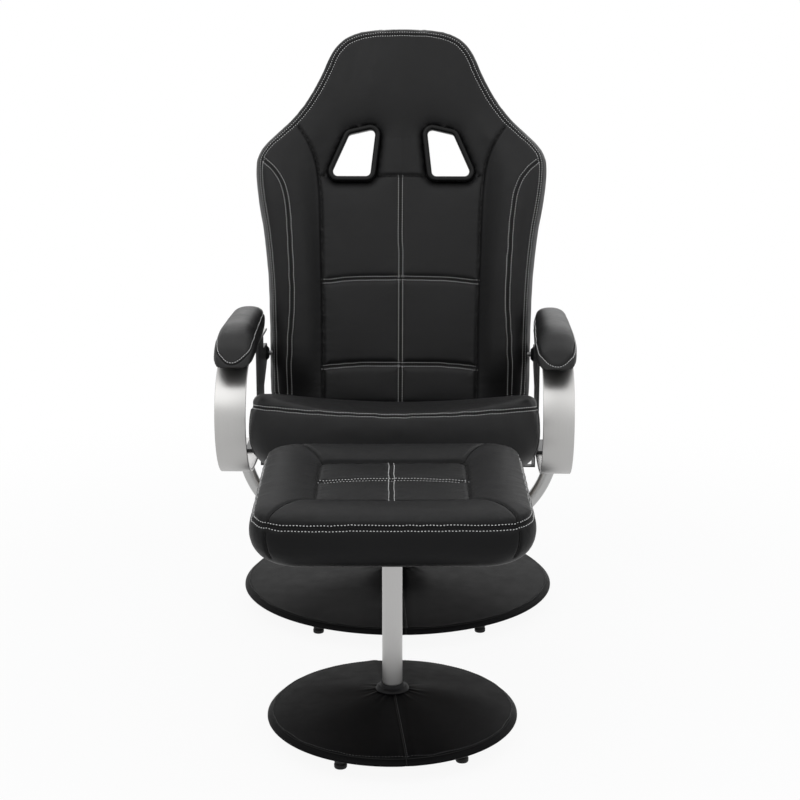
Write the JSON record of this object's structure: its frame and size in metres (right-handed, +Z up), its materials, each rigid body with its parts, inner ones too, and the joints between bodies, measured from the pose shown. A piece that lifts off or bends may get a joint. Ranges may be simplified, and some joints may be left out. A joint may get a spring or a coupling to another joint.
{
  "type": "recliner chair",
  "caption": "Swivel recliner with bucket-shaped leather backrest, open bent-band armrests, covered disc base and a matching footstool on a post.",
  "frame": {"origin": "on the floor, under the centre of the bounding box of the chair and its footstool", "axes": "+Z up; -Y towards the footstool and the sitter's front; +X to the right of somebody who looks at the chair's front"},
  "size_m": [0.657, 1.2145, 1.0842],
  "materials": {
    "black_leather": "satin",
    "base_leather": "satin",
    "brushed_silver": "satin",
    "bright_steel": "polished",
    "black_steel": "satin",
    "black_plastic": "satin",
    "plywood": "matte",
    "core_board": "matte",
    "glide_plastic": "matte"
  },
  "bodies": {
    "pedestal": {"base_collar": "black_plastic", "base_core": "core_board", "base_cover": "base_leather", "base_foot_1": "glide_plastic", "base_foot_2": "glide_plastic", "base_foot_3": "glide_plastic", "base_foot_4": "glide_plastic", "base_foot_5": "glide_plastic", "swivel_column": "black_steel"},
    "swivel_frame": {"arm_band_left": "brushed_silver", "arm_band_right": "brushed_silver", "arm_board_left": "black_plastic", "arm_board_right": "black_plastic", "arm_pad_left": "black_leather", "arm_pad_right": "black_leather", "cradle_tube": "brushed_silver", "cross_strap_front": "black_steel", "cross_strap_rear": "black_steel", "pivot_bolt_left": "bright_steel", "pivot_bolt_right": "bright_steel", "pivot_spacer_left": "black_plastic", "pivot_spacer_right": "black_plastic", "seat_board": "plywood", "seat_cushion": "black_leather", "side_plate_left": "black_steel", "side_plate_right": "black_steel", "swivel_hub": "black_steel", "tube_pad_left": "brushed_silver", "tube_pad_right": "brushed_silver", "tube_strap": "black_steel"},
    "backrest": {"back_cushion": "black_leather", "back_shell": "black_leather", "harness_bezel_left": "black_plastic", "harness_bezel_right": "black_plastic", "hinge_plate_left": "black_steel", "hinge_plate_right": "black_steel"},
    "lock_knob_body": {"lock_knob": "black_plastic"},
    "footstool": {"stool_base_collar": "black_plastic", "stool_base_core": "core_board", "stool_base_cover": "base_leather", "stool_base_foot_1": "glide_plastic", "stool_base_foot_2": "glide_plastic", "stool_base_foot_3": "glide_plastic", "stool_base_foot_4": "glide_plastic", "stool_base_foot_5": "glide_plastic", "stool_board": "plywood", "stool_cushion": "black_leather", "stool_plate": "black_steel", "stool_post": "brushed_silver"}
  },
  "joints": [
    {"name": "swivel", "type": "hinge", "parent": "pedestal", "child": "swivel_frame", "pos_m": [0, 0.22346, 0.1], "axis": [0, 0, 1], "continuous": true},
    {"name": "recline", "type": "hinge", "parent": "swivel_frame", "child": "backrest", "pos_m": [0, 0.35846, 0.457], "axis": [-1, 0, 0], "range_deg": [0, 30]},
    {"name": "knob_turn", "type": "hinge", "parent": "swivel_frame", "child": "lock_knob_body", "pos_m": [0.28, 0.35846, 0.457], "axis": [1, 0, 0], "range_deg": [0, 270]},
    {"name": "footstool_slide", "type": "slide", "parent": "pedestal", "child": "footstool", "axis": [0, -1, 0], "range_m": [-0.03, 0.4]}
  ]
}
